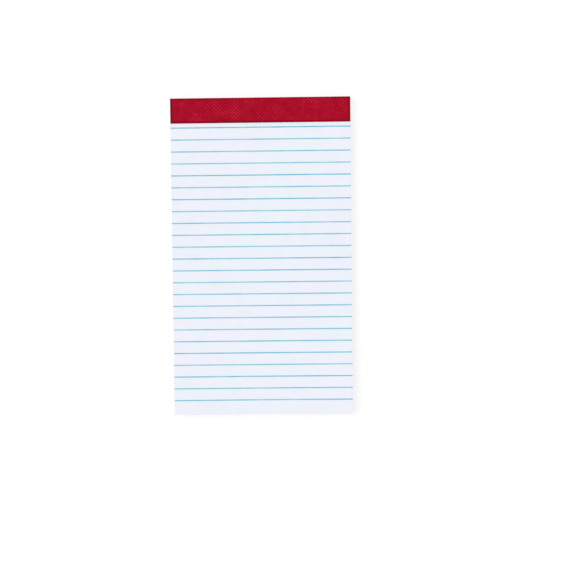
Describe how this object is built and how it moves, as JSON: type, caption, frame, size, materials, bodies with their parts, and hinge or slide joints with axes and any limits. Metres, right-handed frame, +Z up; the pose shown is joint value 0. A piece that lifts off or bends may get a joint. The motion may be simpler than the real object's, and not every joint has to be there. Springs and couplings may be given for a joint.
{
  "type": "memo pad",
  "caption": "Top-bound memo pad: ruled white sheets on a stiff chipboard back, held at the head by a folded strip of embossed red tape, to write on and tear off.",
  "frame": {"origin": "on the surface that the pad lies on, under the middle of its length and width", "axes": "+X across the pad, +Y from the tail to the bound head, +Z up out of the writing face"},
  "size_m": [0.108, 0.1906, 0.0057],
  "materials": {
    "writing_paper": "smooth uncoated",
    "line_ink": "flat printed",
    "embossed_tape": "finely embossed, slight sheen",
    "chipboard": "flecked uncoated",
    "staple_wire": "drawn wire"
  },
  "bodies": {
    "root": {"sheets": "writing_paper", "ruled_lines": "line_ink", "binding_tape": "embossed_tape", "backing_board": "chipboard", "staples": "staple_wire"}
  },
  "joints": []
}
